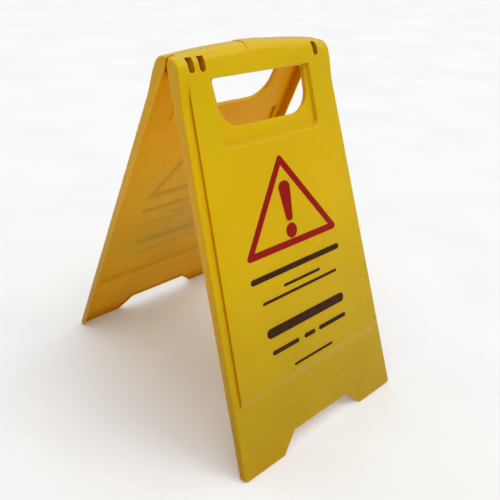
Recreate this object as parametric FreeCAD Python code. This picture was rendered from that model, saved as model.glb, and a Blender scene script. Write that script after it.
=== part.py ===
"""Folding wet floor sign: two equal moulded panels that meet at a hinge line along the carrying rail.

Frame: origin on the floor under the hinge line, +X along the hinge line, +Z up, the front panel's face towards -Y.
The sign is modelled standing open. Each panel is drawn hanging straight down from the hinge line, face towards -Y,
then leant out to its place. Lengths are in millimetres and angles in degrees.
"""

import FreeCAD, Part
import math
import os

Vec = FreeCAD.Vector
X_AXIS, Y_AXIS, Z_AXIS = Vec(1, 0, 0), Vec(0, 1, 0), Vec(0, 0, 1)

# ---- driving dimensions ----
PANEL_LENGTH = 600.0  # hinge line to the foot's end, down the outer face
TOP_HALF_WIDTH = 148.5  # at the hinge line
FOOT_HALF_WIDTH = 175.0
FACE_OFFSET = 19.5  # hinge line to the border of the outer face
LEAN = 21.7  # outer face from the vertical, standing open
WALL = 2.6
RAISE = 4.0  # print field and rail, proud of the border

# side flanges
EDGE_GAP = 1.5  # hinge plane to the flange's edge, at the hinge line
FOOT_FLANGE = 11.4  # flange depth at the feet
EDGE_TAPER = (FACE_OFFSET - EDGE_GAP - FOOT_FLANGE) / PANEL_LENGTH
STOP_GAP = 0.1  # each rail to the mid-plane when the sign stands open
FACE_ROUND = 3.5  # along the outer face's edges

# feet
ARCH_FOOT_HALF = 92.0  # centre to the foot's inner corner
ARCH_TOP_HALF = 63.0
ARCH_HEIGHT = 29.0
FOOT_CORNER = 7.0
ARCH_CORNER = 5.0
FOOT_LIP = 2.4  # how far the lip along the feet and the arch stands in from the skin

# carrying rail
CROWN_RISE = 18.5  # hinge line to the rail's top, at the middle
END_RISE = 8.0  # the same at the ends
CROWN_RADIUS = (TOP_HALF_WIDTH**2 + (CROWN_RISE - END_RISE) ** 2) / (2 * (CROWN_RISE - END_RISE))
RAIL_ROUND = 20.0
RAIL_DROP = 24.0  # hinge line down to the rail's lower edge, at the ends
RAIL_CORNER = 9.0
RAIL_END_ROUND = 3.5
EAR_WIDTH = 13.0  # length at each end of the rail that stays clear of the other rail
EAR_GAP = 2.6  # how far it stays from the mid-plane
SHOULDER_DROP = 34.0  # run of the slope from the rail's ends down to the border
PAD_HALF_WIDTH = 20.0  # grip pad at the middle of the rail
PAD_FLARE = 3.0
PAD_RAISE = 1.2
PAD_DROP = 2.0  # hinge line down to the pad's lower edge

# raised print field
FIELD_BORDER_TOP = 15.0
FIELD_BORDER_FOOT = 13.5
FIELD_END = 491.0  # hinge line down to the field's lower edge
FIELD_RAMP = 13.0  # run of the slope at the field's lower edge
FIELD_CORNER = 7.0
FIELD_ROUND = 1.6

# scooped pocket round the hand hole
POCKET_HALF_WIDTH = 100.5
POCKET_END = 129.5
POCKET_CORNER = 18.0
POCKET_DEPTH = 6.0  # below the raised field
POCKET_SLOPE = 6.5  # run of the sloping sides
POCKET_ROUND = 2.4  # where the sloping sides meet the field
POCKET_FLOOR_ROUND = 3.5
HOLE_TOP = 28.5  # hinge line down to the rail's underside
HOLE_END = 98.5
HOLE_TOP_HALF = 91.5
HOLE_LOW_HALF = 87.0
HOLE_TOP_CORNER = 5.0
HOLE_LOW_CORNER = 36.0
HOLE_BEVEL = 1.2  # front edge of the hand hole
RIM_DEPTH = 8.0  # inward wall round the hand hole
FRAME_SINK = 1.0  # raised field's face to where the walls behind the pocket begin

# hinge: a knuckle at one end of each panel sits in the fork at the other panel's end
HINGE_CENTRE = 116.5
KNUCKLE_WIDTH = 8.5
LUG_WIDTH = 7.5
SIDE_GAP = 1.2
KNUCKLE_RADIUS = 7.0
PIN_RADIUS = 3.0
PIN_CLEARANCE = 0.06
PIN_HOLD = 0.01
WEB_DROP = 26.0  # how far the webs run down from the hinge line
WINDOW_WIDTH = 10.5
WINDOW_TOP = 3.0
WINDOW_DROP = 18.5
WINDOW_CORNER = 1.5
WINDOW_DEPTH = 12.0  # hinge line to the window's back
PIN_CHAMFER = 0.5

# print: thin raised ink
INK = 0.2
TRIANGLE_TOP = 158.2  # hinge line down to the outline's centre line
TRIANGLE_HEIGHT = 126.8
TRIANGLE_BASE = 181.0
TRIANGLE_STROKE = 10.5
MARK_TOP = 191.0
MARK_LENGTH = 61.0
MARK_TOP_HALF = 13.2
MARK_LOW_HALF = 6.4
MARK_ROUNDING = 0.8  # corner radius as a share of the half width
DOT_DROP = 267.2
DOT_RADIUS = 11.4
# each bar: left end, right end, distance below the hinge line, thickness
HEADLINE_BARS = ((-98, 96, 320, 9), (-86, 88, 404, 15))
SMALL_BARS = (
    (-36, 45, 343.5, 4.5),
    (-83, 82, 357, 4.5),
    (-82, -25, 434.5, 7),
    (-13, 12, 434.5, 7),
    (21, 86, 434.5, 7),
    (-43, 45, 468.5, 4),
)

# worked out
TILT = math.radians(LEAN)
FIELD_FACE = FACE_OFFSET + RAISE
HINGE_HEIGHT = PANEL_LENGTH * math.cos(TILT) - FACE_OFFSET * math.sin(TILT)

# helpers for building
REACH = 60.0  # further than any wall reaches in Y
OVERLAP = 4.0  # how far neighbouring blocks run into each other before they are joined
NEARLY_FULL = 0.98  # share of the half width that an almost round end is rounded by
FAR = 1000.0  # half the size of a box that holds the whole sign
SAME = 1e-6  # two places are the same within this
CLOSE = 1e-3  # the same for edges left by cutting and joining


def half_width(drop):
    return TOP_HALF_WIDTH + (FOOT_HALF_WIDTH - TOP_HALF_WIDTH) * drop / PANEL_LENGTH


def field_half_width(drop):
    border = FIELD_BORDER_TOP + (FIELD_BORDER_FOOT - FIELD_BORDER_TOP) * drop / FIELD_END
    return half_width(drop) - border


def polygon(points):
    """A face in the XZ plane from (across, drop) points."""
    corners = [Vec(x, 0, -drop) for x, drop in points]
    return Part.Face(Part.makePolygon(corners + corners[:1]))


def slab(face, outer, inner):
    """A plate between two distances in front of the hinge line. Front is -Y."""
    plate = face.copy()
    plate.translate(Vec(0, -outer, 0))
    return plate.extrude(Vec(0, outer - inner, 0))


def round_upright(solid, radius, chosen):
    """Rounds the edges that run along Y and that chosen(x, drop) picks."""
    edges = []
    for edge in solid.Edges:
        first, last = edge.Vertexes[0].Point, edge.Vertexes[-1].Point
        along_y = abs(first.x - last.x) < SAME and abs(first.z - last.z) < SAME
        if along_y and chosen(first.x, -first.z):
            edges.append(edge)
    return solid.makeFillet(radius, edges)


def profile_bar(points):
    """A bar wider than the panel along X, from (y, z) points."""
    corners = [Vec(-FOOT_HALF_WIDTH - REACH, y, z) for y, z in points]
    face = Part.Face(Part.makePolygon(corners + corners[:1]))
    return face.extrude(Vec(2 * (FOOT_HALF_WIDTH + REACH), 0, 0))


def inset(face, distance):
    """The face shrunk by distance, keeping its corners."""
    return face.makeOffset2D(-distance, 2)


def front_face_of(solid):
    """The solid's face that lies furthest towards -Y."""
    return min(solid.Faces, key=lambda face: face.BoundBox.YMax)


def round_front(solid, radius):
    """Rounds the rim of the solid's front face."""
    return solid.makeFillet(radius, front_face_of(solid).OuterWire.Edges)


def crown_centre():
    """Height of the centre of the rail's long arc. It lies far under the hinge line."""
    return CROWN_RISE * math.cos(TILT) - CROWN_RADIUS


def outline_face():
    """The panel's whole outline, with its arched top and rounded corners."""
    spare = 1.0  # the outline's arch stands clear of the rail's own top
    radius = CROWN_RADIUS + spare
    side = half_width(-END_RISE)
    shoulder = crown_centre() + math.sqrt(radius**2 - side**2)
    arch = Part.Arc(Vec(-side, 0, shoulder), Vec(0, 0, crown_centre() + radius), Vec(side, 0, shoulder)).toShape()
    corners = [
        Vec(side, 0, shoulder),
        Vec(FOOT_HALF_WIDTH, 0, -PANEL_LENGTH),
        Vec(ARCH_FOOT_HALF, 0, -PANEL_LENGTH),
        Vec(ARCH_TOP_HALF, 0, ARCH_HEIGHT - PANEL_LENGTH),
        Vec(-ARCH_TOP_HALF, 0, ARCH_HEIGHT - PANEL_LENGTH),
        Vec(-ARCH_FOOT_HALF, 0, -PANEL_LENGTH),
        Vec(-FOOT_HALF_WIDTH, 0, -PANEL_LENGTH),
        Vec(-side, 0, shoulder),
    ]
    face = Part.Face(Part.Wire([arch] + Part.makePolygon(corners).Edges))
    solid = slab(face, REACH, 0)
    low = PANEL_LENGTH - ARCH_HEIGHT - SAME
    solid = round_upright(solid, RAIL_CORNER, lambda x, drop: drop < 0)
    solid = round_upright(solid, FOOT_CORNER, lambda x, drop: drop > low and abs(x) > ARCH_FOOT_HALF + SAME)
    solid = round_upright(solid, ARCH_CORNER, lambda x, drop: drop > low and abs(x) < ARCH_FOOT_HALF + SAME)
    face = front_face_of(solid).copy()
    face.translate(Vec(0, REACH, 0))
    return face


def rounded_face(points, radii):
    """A face from (across, drop) points. Each corner is rounded by its own radius."""
    solid = slab(polygon(points), REACH, 0)
    for (x, drop), radius in zip(points, radii):
        if radius:
            solid = round_upright(
                solid, radius, lambda a, d, x=x, drop=drop: abs(a - x) < SAME and abs(d - drop) < SAME
            )
    face = front_face_of(solid).copy()
    face.translate(Vec(0, REACH, 0))
    return face


def mirrored(points):
    """Right-hand (across, drop) points from top to bottom, then the same on the left."""
    return points + [(-x, drop) for x, drop in reversed(points)]


def field_face(top, shrink):
    """The print field's outline from a level down, shrunk by a distance."""
    end = FIELD_END - shrink
    points = mirrored([(field_half_width(top) - shrink, top), (field_half_width(end) - shrink, end)])
    corner = FIELD_CORNER - shrink
    return rounded_face(points, [0, corner, corner, 0])


def pocket_face(grow):
    """The pocket's outline, grown by a distance on the sides and the bottom."""
    half, end = POCKET_HALF_WIDTH + grow, POCKET_END + grow
    corner = POCKET_CORNER + grow
    return rounded_face(mirrored([(half, HOLE_TOP), (half, end)]), [0, corner, corner, 0])


def hole_face(grow):
    """The hand hole's outline, grown by a distance all round."""
    points = mirrored([(HOLE_TOP_HALF + grow, HOLE_TOP - grow), (HOLE_LOW_HALF + grow, HOLE_END + grow)])
    top, low = HOLE_TOP_CORNER + grow, HOLE_LOW_CORNER + grow
    return rounded_face(points, [top, low, low, top])


def below(drop, solid):
    """The part of the solid under a level."""
    return solid.common(Part.makeBox(2 * FAR, 2 * FAR, 2 * FAR, Vec(-FAR, -FAR, -drop - 2 * FAR)))


def above(drop, solid):
    """The part of the solid over a level."""
    return solid.common(Part.makeBox(2 * FAR, 2 * FAR, 2 * FAR, Vec(-FAR, -FAR, -drop)))


def lean(shape):
    """Leans a hanging shape out to the standing-open angle, still about the hinge line."""
    leant = shape.copy()
    leant.rotate(Vec(0, 0, 0), X_AXIS, -LEAN)
    return leant


def unlean(y, z):
    """A point given in the standing-open attitude, brought back to the hanging one."""
    point = Vec(0, y, z)
    turn = FreeCAD.Rotation(X_AXIS, LEAN)
    return turn.multVec(point)


def rail_solid(rise, face_offset, radius):
    """The rail's long arched bar: level on top and flush with the field in front, when the sign stands open."""
    centre_z = rise - radius
    centre_y = (math.sin(TILT) * centre_z - face_offset + radius) / math.cos(TILT)
    back = unlean(REACH / 2, rise)
    top, bend, front = [
        unlean(centre_y - radius * math.sin(turn), centre_z + radius * math.cos(turn))
        for turn in (0, math.pi / 4, math.pi / 2 - TILT)
    ]
    low_front = Vec(0, -face_offset, -REACH)
    low_back = Vec(0, REACH / 2, -REACH)
    edges = [
        Part.makeLine(back, top),
        Part.Arc(top, bend, front).toShape(),
        Part.makeLine(front, low_front),
        Part.makeLine(low_front, low_back),
        Part.makeLine(low_back, back),
    ]
    face = Part.Face(Part.Wire(edges))
    sweep = 2 * math.degrees(math.asin(FOOT_HALF_WIDTH / CROWN_RADIUS))
    centre = Vec(0, 0, crown_centre())
    face.rotate(centre, Y_AXIS, -sweep / 2)
    return face.revolve(centre, Y_AXIS, sweep)


def kept_side():
    """The space that one panel may fill: its side of the hinge plane, and of the stop plane over the hinge line."""
    stop = STOP_GAP / math.cos(TILT)
    knee = (EDGE_GAP - stop) / (math.tan(TILT) + EDGE_TAPER)
    low, high = -PANEL_LENGTH - REACH, REACH
    points = [
        (-REACH, low),
        (-EDGE_GAP + EDGE_TAPER * low, low),
        (-EDGE_GAP + EDGE_TAPER * knee, knee),
        (-stop - high * math.tan(TILT), high),
        (-REACH, high),
    ]
    return profile_bar(points)


def ear_gaps():
    """Space round the mid-plane at the rail's two ends, so that two rails that meet leave a slit there."""
    half, low = EAR_GAP / math.cos(TILT), -RAIL_CORNER
    points = [(-half - low * math.tan(TILT), low), (-half - REACH * math.tan(TILT), REACH), (REACH, REACH), (REACH, low)]
    bar = profile_bar(points)
    middle = TOP_HALF_WIDTH - EAR_WIDTH
    return bar.cut(Part.makeBox(2 * middle, 4 * REACH, 4 * REACH, Vec(-middle, -2 * REACH, -2 * REACH)))


def over_the_floor():
    """The space over the floor, in the hanging attitude."""
    box = Part.makeBox(2 * FAR, 2 * FAR, 2 * FAR, Vec(-FAR, -FAR, -HINGE_HEIGHT))
    box.rotate(Vec(0, 0, 0), X_AXIS, LEAN)
    return box


def slope_cut(start, run, sink):
    """Space in front of a slope from the field's level down to the border's, moved inwards by sink."""
    high, low, end = sink - FIELD_FACE, sink - FACE_OFFSET, -2 * PANEL_LENGTH
    return profile_bar([(high, -start), (low, -start - run), (low, end), (-REACH, end), (-REACH, -start)])


def raised_field(top, shrink):
    """The print field as a block, shrunk by a distance on every side but the back. Its lower end slopes."""
    block = slab(field_face(top, shrink), FIELD_FACE - shrink, FACE_OFFSET - WALL - OVERLAP)
    if not shrink:
        block = round_front(block, FIELD_ROUND)
    return block.cut(slope_cut(FIELD_END - FIELD_RAMP, FIELD_RAMP, shrink))


def rail_with_shoulders(outline):
    """The rail cut to the panel's outline, its ends rounded where the surface turns to the side."""
    rail = rail_solid(CROWN_RISE, FIELD_FACE, RAIL_ROUND)
    rail = rail.cut(slope_cut(RAIL_DROP, SHOULDER_DROP, 0)).common(slab(outline, REACH, -REACH))
    edges = []
    for edge in rail.Edges:
        box = edge.BoundBox
        if box.XLength < RAIL_CORNER and box.YMax < -EDGE_GAP:
            edges.append(edge)
    return above(RAIL_DROP + SHOULDER_DROP, rail.makeFillet(RAIL_END_ROUND, edges))


def outer_body(outline):
    """The panel's outside as one solid block, before it is hollowed."""
    sheet = round_front(slab(outline, FACE_OFFSET, -REACH), FACE_ROUND)
    sheet = below(RAIL_DROP - OVERLAP, sheet)
    body = sheet.fuse([raised_field(RAIL_DROP - OVERLAP, 0), rail_with_shoulders(outline), grip_pad()])
    return with_hand_hole(body).common(kept_side())


def with_hand_hole(body):
    """The body with its pocket and hand hole, their rims softened."""
    floor = FIELD_FACE - POCKET_DEPTH
    pocket = pocket_space(0, POCKET_DEPTH, RAISE)
    rim = [edge for edge in rim_edges(pocket, floor) if edge.BoundBox.ZMin < -HOLE_TOP - 1]
    pocket = pocket.makeFillet(POCKET_FLOOR_ROUND, rim)
    flare = between(hole_face(HOLE_BEVEL), floor, hole_face(0), floor - HOLE_BEVEL)
    body = body.cut([pocket, below(HOLE_TOP, flare), slab(hole_face(0), REACH, -REACH)])
    return body.makeFillet(POCKET_ROUND, rim_edges(body, FIELD_FACE))


def rim_edges(solid, level):
    """The solid's edges round the pocket at one level in front of the hinge line."""
    edges = []
    for edge in solid.Edges:
        box = edge.BoundBox
        at_level = max(abs(box.YMin + level), abs(box.YMax + level)) < CLOSE
        in_width = max(-box.XMin, box.XMax) < POCKET_HALF_WIDTH + CLOSE
        in_height = box.ZMin > -POCKET_END - CLOSE and box.ZMax < -HOLE_TOP + CLOSE
        if at_level and in_width and in_height:
            edges.append(edge)
    return edges


def grip_pad():
    """A low pad on top of the rail, at its middle."""
    points = mirrored([(PAD_HALF_WIDTH, -CROWN_RISE - PAD_RAISE), (PAD_HALF_WIDTH + PAD_FLARE, PAD_DROP)])
    return rail_solid(CROWN_RISE + PAD_RAISE, FIELD_FACE, RAIL_ROUND).common(slab(polygon(points), REACH, -REACH))


def inner_body(outline):
    """The space inside the shell."""
    inside = inset(outline, WALL)
    sheet = below(RAIL_DROP - OVERLAP, slab(inside, FACE_OFFSET - WALL, -REACH))
    field = raised_field(POCKET_END + WALL, WALL)
    rail = rail_solid(CROWN_RISE - WALL, FIELD_FACE - WALL, RAIL_ROUND - WALL)
    rail = above(RAIL_DROP - WALL, rail.common(slab(inside, REACH, -REACH)))
    return sheet.fuse([field, rail, foot_opening()])


def foot_opening():
    """Space that leaves only a low lip along the feet and the arch."""
    start, end = PANEL_LENGTH - ARCH_HEIGHT - 3 * ARCH_CORNER, PANEL_LENGTH + REACH
    points = mirrored([(half_width(start) - WALL, start), (half_width(end) - WALL, end)])
    return slab(polygon(points), FACE_OFFSET - WALL - FOOT_LIP, -REACH)


def between(front_face, front, back_face, back):
    """A solid whose outline changes evenly from one face to another, at two distances in front of the hinge line."""
    wires = []
    for face, distance in ((front_face, front), (back_face, back)):
        wire = face.OuterWire
        wire.translate(Vec(0, -distance, 0))
        wires.append(wire)
    return Part.makeLoft(wires, True, True)


def pocket_space(grow, depth, ahead):
    """The pocket's dished space: wide in front, narrower at its floor."""
    return between(pocket_face(grow), FIELD_FACE + ahead, pocket_face(grow - POCKET_SLOPE), FIELD_FACE - depth)


def handle_frame():
    """Wall behind the pocket, rim round the hand hole, and the rail's underside and the two ends of its grip."""
    floor = FIELD_FACE - POCKET_DEPTH
    backing = pocket_space(WALL, POCKET_DEPTH + WALL, -FRAME_SINK)
    rim = slab(hole_face(WALL), floor, floor - RIM_DEPTH)
    half = POCKET_HALF_WIDTH + WALL
    shelf = polygon(mirrored([(half, HOLE_TOP - WALL), (half, HOLE_TOP)]))
    shelf = slab(shelf, FIELD_FACE - FRAME_SINK, floor - RIM_DEPTH)
    edge = lug_positions()[0] - WINDOW_WIDTH / 2
    grip_ends = []
    for x in (-edge, edge - WALL):
        grip_ends.append(Part.makeBox(WALL, REACH, HOLE_TOP + REACH, Vec(x, -REACH, -HOLE_TOP)))
    return backing.fuse([rim, shelf] + grip_ends)


def cylinder_along_x(radius, x, length):
    return Part.makeCylinder(radius, length, Vec(x - length / 2, 0, 0), X_AXIS)


def web(block, x, width):
    """A solid web from the panel's front wall to the round eye on the hinge line."""
    corner = Vec(x - width / 2, -REACH, -WEB_DROP)
    space = Part.makeBox(width, 2 * REACH, WEB_DROP + REACH, corner)
    return block.common(space).fuse(cylinder_along_x(KNUCKLE_RADIUS, x, width))


def lug_positions():
    """The fork's two lugs, one on each side of the other panel's knuckle."""
    step = KNUCKLE_WIDTH / 2 + SIDE_GAP + LUG_WIDTH / 2
    return [HINGE_CENTRE - step, HINGE_CENTRE + step]


def window(x):
    """A window through the rail's front wall, round at its lower end."""
    half = WINDOW_WIDTH / 2
    low = half * NEARLY_FULL
    points = mirrored([(half, -WINDOW_TOP), (half, WINDOW_DROP)])
    face = rounded_face(points, [WINDOW_CORNER, low, low, WINDOW_CORNER])
    opening = slab(face, REACH, WINDOW_DEPTH)
    opening.translate(Vec(x, 0, 0))
    return opening


def panel():
    """One panel, hanging from the hinge line: knuckle at its -X end, fork at its +X end."""
    outline = outline_face()
    block = outer_body(outline)
    shell = block.cut(inner_body(outline)).fuse(handle_frame()).common(block)
    webs = [web(block, -HINGE_CENTRE, KNUCKLE_WIDTH)] + [web(block, x, LUG_WIDTH) for x in lug_positions()]
    shell = shell.fuse(webs)
    windows = [window(HINGE_CENTRE)] + [window(-x) for x in lug_positions()]
    knuckle_bore = cylinder_along_x(PIN_RADIUS + PIN_CLEARANCE, -HINGE_CENTRE, KNUCKLE_WIDTH + SIDE_GAP)
    lug_bores = [cylinder_along_x(PIN_RADIUS + PIN_HOLD, x, LUG_WIDTH + SIDE_GAP) for x in lug_positions()]
    shell = shell.cut([knuckle_bore, ear_gaps()] + windows + lug_bores)
    return shell.common(over_the_floor()).removeSplitter()


def hinge_pin():
    """The pin in the fork, at the panel's +X end."""
    length = KNUCKLE_WIDTH + 2 * (SIDE_GAP + LUG_WIDTH) - PIN_CHAMFER
    pin = cylinder_along_x(PIN_RADIUS, HINGE_CENTRE, length)
    return pin.makeChamfer(PIN_CHAMFER, [edge for edge in pin.Edges if edge.Closed])


def ink(face):
    return slab(face, FIELD_FACE + INK, FIELD_FACE)


def triangle_face(grow):
    """The warning triangle's outline, moved outwards by a distance from its centre line."""
    half_angle = math.atan(TRIANGLE_BASE / 2 / TRIANGLE_HEIGHT)
    apex = TRIANGLE_TOP - grow / math.sin(half_angle)
    base = TRIANGLE_TOP + TRIANGLE_HEIGHT + grow
    half = (base - apex) * math.tan(half_angle)
    corner = max(grow, 0)
    return rounded_face([(0, apex), (half, base), (-half, base)], [corner] * 3)


def triangle_print():
    half = TRIANGLE_STROKE / 2
    return ink(triangle_face(half)).cut(ink(triangle_face(-half)))


def mark_print():
    """The exclamation mark: a tapering stem and a dot."""
    points = mirrored([(MARK_TOP_HALF, MARK_TOP), (MARK_LOW_HALF, MARK_TOP + MARK_LENGTH)])
    top, low = MARK_ROUNDING * MARK_TOP_HALF, MARK_ROUNDING * MARK_LOW_HALF
    stem = rounded_face(points, [top, low, low, top])
    dot = Part.makeCylinder(DOT_RADIUS, INK, Vec(0, -FIELD_FACE, -DOT_DROP), -Y_AXIS)
    return Part.makeCompound([ink(stem), dot])


def bars_print(bars):
    """Plain round-ended bars in place of lettering."""
    made = []
    for left, right, drop, thickness in bars:
        half = thickness / 2
        points = [(right, drop - half), (right, drop + half), (left, drop + half), (left, drop - half)]
        made.append(ink(rounded_face(points, [half * NEARLY_FULL] * 4)))
    return Part.makeCompound(made)


def placed(shape, turned):
    """Leans a hanging shape out over the floor, and turns it to the rear if asked."""
    done = lean(shape)
    done.translate(Vec(0, 0, HINGE_HEIGHT))
    if turned:
        done.rotate(Vec(0, 0, 0), Z_AXIS, 180)
    return done


def parts():
    """Every node of the sign, by name."""
    hanging = {
        "panel": panel(),
        "hinge_pin": hinge_pin(),
        "triangle_print": triangle_print(),
        "exclamation_print": mark_print(),
        "headline_print": bars_print(HEADLINE_BARS),
        "small_print": bars_print(SMALL_BARS),
    }
    made = {}
    for name, shape in hanging.items():
        made["front_" + name] = placed(shape, False)
        made["rear_" + name] = placed(shape, True)
    return made


os.makedirs("parts", exist_ok=True)
for node, solid in parts().items():
    solid.exportStep("parts/" + node + ".step")
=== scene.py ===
"""Looks of the folding wet floor sign: moulded yellow plastic, printed ink, floor, light and camera.

Everything is in metres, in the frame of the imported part: origin on the floor under the hinge line, +X along
the hinge line, +Z up, the front panel's face towards -Y. Object coordinates of a node equal that frame at
rest, so a material keeps its place on a panel when the sign folds.
"""

import math

import bpy
from mathutils import Matrix, Vector

# camera, fitted to the outline of the standing sign
CAMERA_AZIMUTH = -42.71
CAMERA_ELEVATION = 27.49
CAMERA_ROLL = 3.52
CAMERA_PLACE = (-0.61483, -0.64156, 0.73418)
SENSOR = 36.0
LENS = 43.22
SHIFT_X = 0.0463
SHIFT_Y = -0.0566

# light
SKY_LEVEL = 0.38  # brightness at the horizon
SKY_ZENITH = 1.15  # brightness overhead
BACKDROP = 0.9  # brightness of the sky where the camera sees it
KEY_AZIMUTH = 48.0  # the soft lamp's place, seen from the sign
KEY_ELEVATION = 56.0
KEY_SOFTNESS = 30.0
KEY_STRENGTH = 0.66
FLOOR_SIZE = 60.0

# where the plastic changes, and where shade is painted on it
SHELTER_SHADE_REACH = 0.3  # how far away other surfaces count for the painted shade and bounce light that turn the sheltered inside orange
CREASE_REACH = 0.03  # the same for the painted shade in small corners and hollows
LOW_SHADE_HEIGHT = 0.38  # painted shade: the colour darkens from here down to the floor
GRIME_HEIGHT = 0.16
RUBBED_WIDTH = 0.001  # band along an edge that is rubbed: duller wear, and a lighter colour that is partly a painted highlight
SOFT_EDGE = 0.0007  # radius that every edge is shaded with
TRIANGLE_STROKE = 0.0105  # width of the printed triangle's line
SHADE_BLUR = 0.001  # softness of the print's shade on the inner side
INNER_SLOPE = (-0.2, -0.3)  # upward part of the normal, where the inner side begins and where it is certain
SHEEN = (0.38, 0.08)  # specular level in the open and where sheltered

# how strongly each change and each painted shade shows
SHELTER_SHADE_SHARE = 0.95
SIDE_SHADE_SHARE = 0.8
PRINT_SHADE_SHARE = 0.25
CREASE_SHADE_SHARE = 0.7
RUBBED_HIGHLIGHT_SHARE = 0.22

# colours as shown on a display, from 0 to 255
YELLOW = (209, 175, 6)
PALE_YELLOW = (213, 180, 10)
FLOW_YELLOW = (206, 166, 10)
# painted shade and bounce light, drawn on the sheltered inside
SHELTER_SHADE_ORANGE = (255, 190, 0)
# painted shade on faces that look along X
SIDE_SHADE_YELLOW = (198, 146, 2)
# painted shade in corners and hollows
CREASE_SHADE_BROWN = (190, 126, 2)
# rubbed edges: partly wear, partly a painted highlight
RUBBED_HIGHLIGHT_YELLOW = (236, 206, 70)
LOW_SHADE = (208, 210, 170)  # painted shade that multiplies the plastic's colour near the floor
GRIME = (160, 126, 22)
PRINT_SHADE = (150, 100, 2)
SHEEN_TINT = (255, 228, 120)
FRESH_RED, WORN_RED = (146, 12, 0), (152, 26, 0)
FRESH_DARK, WORN_DARK = (56, 28, 0), (84, 50, 4)
BARE_SPOT = (225, 180, 30)  # plastic seen through pinholes in the ink
DEEP_PIN, PALE_PIN = (196, 152, 16), (212, 172, 30)

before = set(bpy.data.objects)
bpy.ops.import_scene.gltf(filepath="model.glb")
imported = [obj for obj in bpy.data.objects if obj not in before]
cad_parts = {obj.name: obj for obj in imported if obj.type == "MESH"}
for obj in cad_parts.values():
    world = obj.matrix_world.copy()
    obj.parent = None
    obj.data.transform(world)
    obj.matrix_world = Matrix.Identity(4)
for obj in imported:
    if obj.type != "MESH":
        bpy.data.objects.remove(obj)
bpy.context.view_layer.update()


# ---------- node helpers ----------


def add(tree, kind, inputs=None, **settings):
    """Adds a node. Each input is given as a value, or as a socket to link from."""
    node = tree.nodes.new(kind)
    for name, value in settings.items():
        setattr(node, name, value)
    for name, value in (inputs or {}).items():
        if isinstance(value, bpy.types.NodeSocket):
            tree.links.new(value, node.inputs[name])
        else:
            node.inputs[name].default_value = value
    return node


def calculate(tree, operation, a, b=0.0):
    return add(tree, "ShaderNodeMath", {0: a, 1: b}, operation=operation).outputs[0]


def subtract(tree, a, b):
    return calculate(tree, "SUBTRACT", a, b)


def times(tree, a, b):
    return calculate(tree, "MULTIPLY", a, b)


def ramp(tree, value, low, high, start=0.0, end=1.0):
    """start where value is below low, end where it is above high, and a smooth step between."""
    inputs = {"Value": value, "From Min": low, "From Max": high, "To Min": start, "To Max": end}
    return add(tree, "ShaderNodeMapRange", inputs, interpolation_type="SMOOTHSTEP").outputs[0]


def mix(tree, factor, a, b, blend="MIX"):
    """Mixes two colours."""
    node = add(tree, "ShaderNodeMix", {0: factor, 6: a, 7: b}, data_type="RGBA", blend_type=blend)
    return node.outputs[2]


def noise(tree, scale, detail=2.0, roughness=0.5, stretch=None):
    """Noise in the node's own frame, in waves per metre. stretch lengthens the waves along each axis."""
    place = add(tree, "ShaderNodeTexCoord").outputs["Object"]
    if stretch:
        shorter = [1 / share for share in stretch]
        place = add(tree, "ShaderNodeVectorMath", {0: place, 1: shorter}, operation="MULTIPLY").outputs[0]
    inputs = {"Vector": place, "Scale": scale, "Detail": detail, "Roughness": roughness}
    return add(tree, "ShaderNodeTexNoise", inputs).outputs[0]


def linear(shown):
    """A display colour from 0 to 255, as the linear colour that shaders use."""
    return tuple((channel / 255) ** 2.2 for channel in shown) + (1.0,)


def new_material(name):
    material = bpy.data.materials.new(name)
    material.use_nodes = True
    tree = material.node_tree
    tree.nodes.clear()
    shader = add(tree, "ShaderNodeBsdfPrincipled")
    add(tree, "ShaderNodeOutputMaterial", {"Surface": shader.outputs[0]})
    return material, tree, shader


def set_inputs(tree, shader, values):
    for name, value in values.items():
        if isinstance(value, bpy.types.NodeSocket):
            tree.links.new(value, shader.inputs[name])
        else:
            shader.inputs[name].default_value = value


# ---------- masks ----------


def edge_mask(tree, radius):
    """1 along sharp outer and inner edges, 0 on open faces."""
    bent = add(tree, "ShaderNodeBevel", {"Radius": radius}, samples=6).outputs[0]
    flat = add(tree, "ShaderNodeNewGeometry").outputs["Normal"]
    dot = add(tree, "ShaderNodeVectorMath", {0: bent, 1: flat}, operation="DOT_PRODUCT").outputs["Value"]
    return ramp(tree, dot, 0.995, 0.86)


def crease_mask(tree, distance, shut=0.5, clear=0.95):
    """1 where less than the share shut of the view is open, 0 where more than the share clear is."""
    open_share = add(tree, "ShaderNodeAmbientOcclusion", {"Distance": distance}, samples=8).outputs["AO"]
    return ramp(tree, open_share, clear, shut)


def sideways_mask(tree):
    """1 on faces that look along X, 0 on faces that look to the front, back or up."""
    normal = add(tree, "ShaderNodeNewGeometry").outputs["Normal"]
    across = add(tree, "ShaderNodeSeparateXYZ", {0: normal}).outputs[0]
    return ramp(tree, calculate(tree, "ABSOLUTE", across), 0.6, 0.95)


def separate_boxes(node):
    """The middle and half size, across and up, of every separate shape in a node's mesh."""
    owner = {}

    def first_of(spot):
        while owner.setdefault(spot, spot) != spot:
            spot = owner[spot]
        return spot

    for face in node.data.polygons:
        spots = [tuple(round(c, 5) for c in node.data.vertices[index].co) for index in face.vertices]
        for spot in spots[1:]:
            owner[first_of(spot)] = first_of(spots[0])
    shapes = {}
    for spot in list(owner):
        shapes.setdefault(first_of(spot), []).append(spot)
    boxes = []
    for spots in shapes.values():
        across, up = [(min(s[axis] for s in spots), max(s[axis] for s in spots)) for axis in (0, 2)]
        middle = (sum(across) / 2, sum(up) / 2)
        boxes.append((middle, ((across[1] - across[0]) / 2, (up[1] - up[0]) / 2)))
    return boxes


def distance_to_box(tree, middle, half, across, up):
    """How far a place is outside an upright box. Less than 0 inside it."""
    gaps = []
    for position, centre, reach in zip((across, up), middle, half):
        offset = calculate(tree, "ABSOLUTE", subtract(tree, position, centre))
        gaps.append(subtract(tree, offset, reach))
    return calculate(tree, "MAXIMUM", *gaps)


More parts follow.
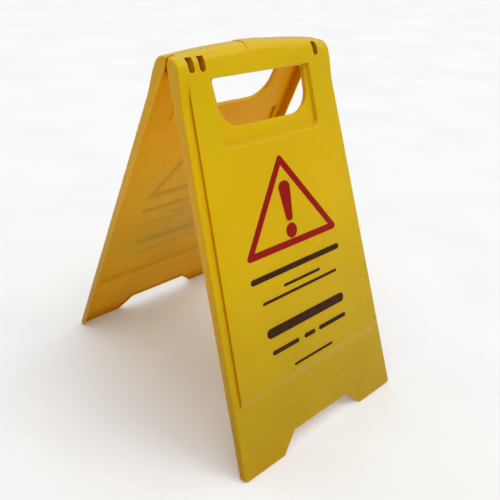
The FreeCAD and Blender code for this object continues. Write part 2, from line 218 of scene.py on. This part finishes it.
def distance_to_triangle(tree, node, across, up):
    """How far a place is from the printed triangle's line. Less than 0 on the line."""
    middle, half = separate_boxes(node)[0]
    steep = math.atan2(half[0], 2 * half[1])  # half the angle at the triangle's top
    fall = times(tree, subtract(tree, middle[1] + half[1], up), math.sin(steep))
    beside = times(tree, calculate(tree, "ABSOLUTE", across), math.cos(steep))
    under = subtract(tree, middle[1] - half[1], up)
    outside = calculate(tree, "MAXIMUM", subtract(tree, beside, fall), under)
    from_middle = calculate(tree, "ABSOLUTE", calculate(tree, "ADD", outside, TRIANGLE_STROKE / 2))
    return subtract(tree, from_middle, TRIANGLE_STROKE / 2)


def shade_of_print(tree, nodes):
    """1 on a panel's inner side behind the printed marks, where ink keeps the light from coming through."""
    place = add(tree, "ShaderNodeTexCoord")
    across, depth, up = add(tree, "ShaderNodeSeparateXYZ", {0: place.outputs["Object"]}).outputs
    across = times(tree, across, calculate(tree, "SIGN", times(tree, depth, -1)))
    distance = distance_to_triangle(tree, nodes["front_triangle_print"], across, up)
    for name in ("front_headline_print", "front_small_print", "front_exclamation_print"):
        for middle, half in separate_boxes(nodes[name]):
            distance = calculate(tree, "MINIMUM", distance, distance_to_box(tree, middle, half, across, up))
    upward = add(tree, "ShaderNodeSeparateXYZ", {0: place.outputs["Normal"]}).outputs[2]
    return times(tree, ramp(tree, distance, SHADE_BLUR, -SHADE_BLUR), ramp(tree, upward, *INNER_SLOPE))


# ---------- materials ----------


def plastic_colour(tree, nodes, shelter_shade, rubbed_and_highlit):
    """Yellow with faint clouds and flow marks, then each change laid over it in turn: painted shade in
    sheltered places, on sideways faces, near the floor and in creases, grime, the print's shade, and rubbed
    edges with a painted highlight.
    """
    place = add(tree, "ShaderNodeTexCoord").outputs["Object"]
    height = add(tree, "ShaderNodeSeparateXYZ", {0: place}).outputs[2]
    clouds = ramp(tree, noise(tree, 7, 3), 0.35, 0.65)
    colour = mix(tree, clouds, linear(YELLOW), linear(PALE_YELLOW))
    flow = ramp(tree, noise(tree, 26, 4, 0.6, (1, 5, 5)), 0.5, 0.75, 0, 0.12)
    colour = mix(tree, flow, colour, linear(FLOW_YELLOW))
    # painted shade and bounce light: sheltered places are drawn orange
    colour = mix(tree, times(tree, shelter_shade, SHELTER_SHADE_SHARE), colour, linear(SHELTER_SHADE_ORANGE))
    # painted shade: faces that look along X are drawn darker and more orange
    colour = mix(tree, times(tree, sideways_mask(tree), SIDE_SHADE_SHARE), colour, linear(SIDE_SHADE_YELLOW))
    # painted shade: darker towards the floor
    colour = mix(tree, ramp(tree, height, LOW_SHADE_HEIGHT, 0.0), colour, linear(LOW_SHADE), "MULTIPLY")
    low = ramp(tree, height, GRIME_HEIGHT, 0.0, 0, 0.3)
    grime = times(tree, low, ramp(tree, noise(tree, 24, 6), 0.2, 0.8))
    colour = mix(tree, grime, colour, linear(GRIME))
    behind = times(tree, shade_of_print(tree, nodes), PRINT_SHADE_SHARE)
    colour = mix(tree, behind, colour, linear(PRINT_SHADE))
    # painted shade: corners and hollows are drawn brown
    crease_shade = crease_mask(tree, CREASE_REACH)
    colour = mix(tree, times(tree, crease_shade, CREASE_SHADE_SHARE), colour, linear(CREASE_SHADE_BROWN))
    # rubbed edges drawn lighter: partly wear, partly a painted highlight
    return mix(tree, times(tree, rubbed_and_highlit, RUBBED_HIGHLIGHT_SHARE), colour, linear(RUBBED_HIGHLIGHT_YELLOW))


def plastic_roughness(tree, rubbed_and_highlit):
    """Satin, with scuffs, and a little duller where edges are rubbed."""
    scuffs = ramp(tree, noise(tree, 120, 6, 0.7, (1, 1, 6)), 0.58, 0.7, 0, 0.1)
    rough = calculate(tree, "ADD", ramp(tree, noise(tree, 18, 5), 0.3, 0.7, 0.27, 0.37), scuffs)
    return calculate(tree, "ADD", rough, times(tree, rubbed_and_highlit, 0.1))


def plastic_relief(tree):
    """Softened edges, slow waves of the moulded skin, and fine grain over them."""
    soft = add(tree, "ShaderNodeBevel", {"Radius": SOFT_EDGE}, samples=4).outputs[0]
    waves = {"Strength": 0.12, "Distance": 0.004, "Height": noise(tree, 9, 1), "Normal": soft}
    waved = add(tree, "ShaderNodeBump", waves).outputs[0]
    grain = {"Strength": 0.12, "Distance": 0.0002, "Height": noise(tree, 1400, 2), "Normal": waved}
    return add(tree, "ShaderNodeBump", grain).outputs[0]


def yellow_plastic(nodes):
    """Moulded polypropylene: satin and slightly see-through."""
    material, tree, shader = new_material("yellow_plastic")
    # how sheltered each place is: it paints the orange shade and lowers the sheen there
    shelter_shade = crease_mask(tree, SHELTER_SHADE_REACH, 0.45, 0.8)
    worn = ramp(tree, noise(tree, 60, 5), 0.45, 0.6)
    # edges rubbed in patches; the mask also carries a painted highlight
    rubbed_and_highlit = times(tree, edge_mask(tree, RUBBED_WIDTH), worn)
    finish = {
        "Base Color": plastic_colour(tree, nodes, shelter_shade, rubbed_and_highlit),
        "Roughness": plastic_roughness(tree, rubbed_and_highlit),
        "Normal": plastic_relief(tree),
        "IOR": 1.49,
        "Specular IOR Level": ramp(tree, shelter_shade, 0.0, 1.0, *SHEEN),
        "Specular Tint": linear(SHEEN_TINT),
        "Subsurface Weight": 0.7,
        "Subsurface Radius": (1.0, 0.65, 0.1),
        "Subsurface Scale": 0.007,
    }
    set_inputs(tree, shader, finish)
    return material


def print_ink(name, fresh, worn):
    """Screen-printed ink: duller than the plastic, with small pinholes and faded patches."""
    material, tree, shader = new_material(name)
    patch = ramp(tree, noise(tree, 45, 5, 0.6), 0.42, 0.75, 0, 0.55)
    colour = mix(tree, patch, linear(fresh), linear(worn))
    pinholes = ramp(tree, noise(tree, 900, 3), 0.68, 0.74, 0, 0.6)
    colour = mix(tree, pinholes, colour, linear(BARE_SPOT))
    rough = ramp(tree, noise(tree, 70, 3), 0.3, 0.7, 0.4, 0.5)
    bump = add(tree, "ShaderNodeBump", {"Strength": 0.1, "Distance": 0.0001, "Height": noise(tree, 1200, 2)})
    finish = {"Base Color": colour, "Roughness": rough, "Normal": bump.outputs[0], "Specular IOR Level": 0.12}
    set_inputs(tree, shader, finish)
    return material


def pin_plastic():
    """Turned nylon pin: duller than the panels, with fine rings along its length."""
    material, tree, shader = new_material("pin_plastic")
    tone = ramp(tree, noise(tree, 150, 4), 0.3, 0.7)
    colour = mix(tree, tone, linear(DEEP_PIN), linear(PALE_PIN))
    rings = noise(tree, 900, 2, 0.5, (1, 40, 40))
    bump = add(tree, "ShaderNodeBump", {"Strength": 0.2, "Distance": 0.0001, "Height": rings})
    rough = ramp(tree, noise(tree, 200, 3), 0.3, 0.7, 0.4, 0.55)
    set_inputs(tree, shader, {"Base Color": colour, "Roughness": rough, "Normal": bump.outputs[0]})
    return material


def floor_paint():
    """Pale matt studio floor."""
    material, tree, shader = new_material("floor_paint")
    tone = ramp(tree, noise(tree, 3, 4), 0.3, 0.7)
    colour = mix(tree, tone, (0.86, 0.86, 0.86, 1), (0.9, 0.9, 0.9, 1))
    set_inputs(tree, shader, {"Base Color": colour, "Roughness": 0.8})
    return material


def dress(nodes):
    """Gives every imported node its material."""
    plastic, pins = yellow_plastic(nodes), pin_plastic()
    red = print_ink("red_ink", FRESH_RED, WORN_RED)
    dark = print_ink("dark_ink", FRESH_DARK, WORN_DARK)
    finishes = {
        "panel": plastic,
        "hinge_pin": pins,
        "triangle_print": red,
        "exclamation_print": red,
        "headline_print": dark,
        "small_print": dark,
    }
    for name, node in nodes.items():
        finish = finishes[name.split("_", 1)[1]]
        node.data.materials.clear()
        node.data.materials.append(finish)


# ---------- stage ----------


def make_floor():
    bpy.ops.mesh.primitive_plane_add(size=FLOOR_SIZE)
    floor = bpy.context.object
    floor.name = "studio_floor"
    floor.data.materials.append(floor_paint())


def direction(azimuth, elevation):
    """From the sign towards a place. Azimuth 0 is in front, at -Y, and 90 is at +X. Angles are in degrees."""
    azimuth, elevation = math.radians(azimuth), math.radians(elevation)
    level = math.cos(elevation)
    return Vector((math.sin(azimuth) * level, -math.cos(azimuth) * level, math.sin(elevation)))


def make_sky():
    """White light from all round, brighter overhead than at the horizon. The camera sees a paler sky."""
    world = bpy.data.worlds.new("studio")
    world.use_nodes = True
    tree = world.node_tree
    way = add(tree, "ShaderNodeTexCoord").outputs["Generated"]
    height = add(tree, "ShaderNodeSeparateXYZ", {0: way}).outputs[2]
    level = ramp(tree, height, 0.0, 1.0, SKY_LEVEL, SKY_ZENITH)
    seen = times(tree, add(tree, "ShaderNodeLightPath").outputs["Is Camera Ray"], BACKDROP)
    level = calculate(tree, "MAXIMUM", level, seen)
    tree.nodes["Background"].inputs["Color"].default_value = (1, 1, 1, 1)
    tree.links.new(level, tree.nodes["Background"].inputs["Strength"])
    bpy.context.scene.world = world


def make_key():
    """One large, far lamp, high on the right."""
    lamp = bpy.data.lights.new("key", "SUN")
    lamp.angle = math.radians(KEY_SOFTNESS)
    lamp.energy = KEY_STRENGTH
    holder = bpy.data.objects.new("key", lamp)
    bpy.context.scene.collection.objects.link(holder)
    holder.rotation_mode = "QUATERNION"
    holder.rotation_quaternion = direction(KEY_AZIMUTH, KEY_ELEVATION).to_track_quat("Z", "Y")


def make_camera():
    """Places the camera by azimuth, elevation and roll. Its up and right axes are worked out from those."""
    azimuth, roll = math.radians(CAMERA_AZIMUTH), math.radians(CAMERA_ROLL)
    back = direction(CAMERA_AZIMUTH, CAMERA_ELEVATION)
    right = Vector((math.cos(azimuth), math.sin(azimuth), 0))
    up = back.cross(right)
    turned_right = right * math.cos(roll) + up * math.sin(roll)
    turned_up = up * math.cos(roll) - right * math.sin(roll)
    lens = bpy.data.cameras.new("camera")
    lens.sensor_width = SENSOR
    lens.lens = LENS
    lens.shift_x = SHIFT_X
    lens.shift_y = SHIFT_Y
    camera = bpy.data.objects.new("camera", lens)
    bpy.context.scene.collection.objects.link(camera)
    turn = Matrix((turned_right, turned_up, back)).transposed().to_4x4()
    camera.matrix_world = Matrix.Translation(CAMERA_PLACE) @ turn
    bpy.context.scene.camera = camera


dress(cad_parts)
make_floor()
make_sky()
make_key()
make_camera()
bpy.context.scene.view_settings.view_transform = "Standard"
